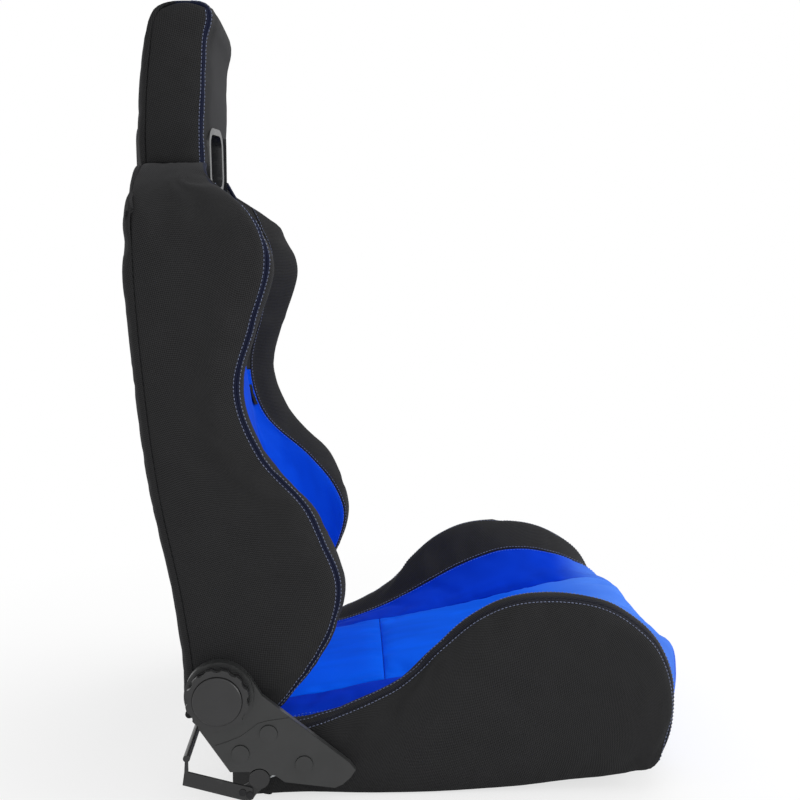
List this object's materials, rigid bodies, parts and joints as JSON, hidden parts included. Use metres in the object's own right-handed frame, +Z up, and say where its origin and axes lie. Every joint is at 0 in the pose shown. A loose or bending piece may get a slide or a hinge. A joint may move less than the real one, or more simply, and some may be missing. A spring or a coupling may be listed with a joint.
{
  "type": "racing seat",
  "caption": "Reclining racing seat with high bolsters, harness slots in the headrest, a hand-wheel recliner, a fold-forward latch with a rear bar, and a steel base with bolt holes.",
  "frame": {"origin": "centre of the four mounting holes, on the base rails' underside", "axes": "+X towards the front of the seat, +Y towards its left side, +Z up"},
  "size_m": [0.6723, 0.585, 0.932],
  "materials": {
    "black_fabric": "woven twill",
    "blue_fabric": "short-pile suede",
    "foam": "moulded foam",
    "frame_steel": "satin black",
    "mechanism_steel": "zinc plated",
    "spring_steel": "oiled",
    "bush_metal": "turned",
    "lever_metal": "satin black",
    "rivet_metal": "bare",
    "dark_plastic": "fine grain",
    "bezel_plastic": "gloss",
    "tag_fabric": "woven, blank"
  },
  "bodies": {
    "seat_base": {"base_rail_right": "frame_steel", "base_rail_left": "frame_steel", "base_cross_tubes": "frame_steel", "cushion_springs": "spring_steel", "cushion_foam": "foam", "cushion_insert": "blue_fabric", "cushion_skirt": "black_fabric", "cushion_band_right": "black_fabric", "cushion_band_left": "black_fabric", "cushion_side_right": "black_fabric", "cushion_side_left": "black_fabric", "recliner_base_plates": "frame_steel", "fold_bushes": "bush_metal", "plate_bolts": "mechanism_steel", "plate_spacers": "mechanism_steel", "plate_nuts": "mechanism_steel", "recliner_cover_right": "dark_plastic", "recliner_cover_left": "dark_plastic", "cover_plugs": "dark_plastic", "cover_screws": "mechanism_steel", "plate_spring_pins": "mechanism_steel", "release_springs": "spring_steel"},
    "fold_frame": {"fold_plates": "mechanism_steel", "recliner_outer_discs": "mechanism_steel", "recliner_rings": "mechanism_steel"},
    "backrest": {"recliner_inner_discs": "mechanism_steel", "back_side_plates": "frame_steel", "back_plate_bolts": "mechanism_steel", "back_plate_spacers": "mechanism_steel", "back_hoop_tube": "frame_steel", "back_cross_tubes": "frame_steel", "head_hoop_tube": "frame_steel", "back_springs": "spring_steel", "back_foam": "foam", "head_foam": "foam", "back_insert": "blue_fabric", "back_upper_panel": "black_fabric", "back_band_right": "black_fabric", "back_band_left": "black_fabric", "back_side_right": "black_fabric", "back_side_left": "black_fabric", "back_rear_panel": "black_fabric", "back_hem": "black_fabric", "head_cover": "black_fabric", "slot_bezels_front": "bezel_plastic", "slot_bezels_rear": "bezel_plastic", "trim_tag": "tag_fabric"},
    "recline_drive": {"drive_hubs": "dark_plastic", "sync_rod": "mechanism_steel", "hand_wheel_right": "dark_plastic", "hand_wheel_left": "dark_plastic", "wheel_caps": "dark_plastic"},
    "release_lever": {"latch_pawls": "mechanism_steel", "lever_shafts": "mechanism_steel", "lever_hub_plates": "lever_metal", "release_arms": "lever_metal", "release_rivets": "rivet_metal", "release_bar": "lever_metal", "pawl_spring_pins": "mechanism_steel"}
  },
  "joints": [
    {"name": "fold_forward", "type": "hinge", "parent": "seat_base", "child": "fold_frame", "pos_m": [-0.223, 0, 0.133], "axis": [0, 1, 0], "range_deg": [0, 26]},
    {"name": "recline", "type": "hinge", "parent": "fold_frame", "child": "backrest", "pos_m": [-0.223, 0, 0.133], "axis": [0, 1, 0], "range_deg": [-60, 0]},
    {"name": "drive_turn", "type": "hinge", "parent": "fold_frame", "child": "recline_drive", "pos_m": [-0.223, 0, 0.133], "axis": [0, 1, 0], "range_deg": [-1990, 10]},
    {"name": "release_lever", "type": "hinge", "parent": "seat_base", "child": "release_lever", "pos_m": [-0.179, 0, 0.033], "axis": [0, 1, 0], "range_deg": [0, 11], "stiffness_Nm_per_rad": 1, "springref_deg": -28.65, "deforming": ["release_springs"]}
  ],
  "couplings": [
    {"joint": "drive_turn", "follows": "recline", "ratio": 33}
  ]
}
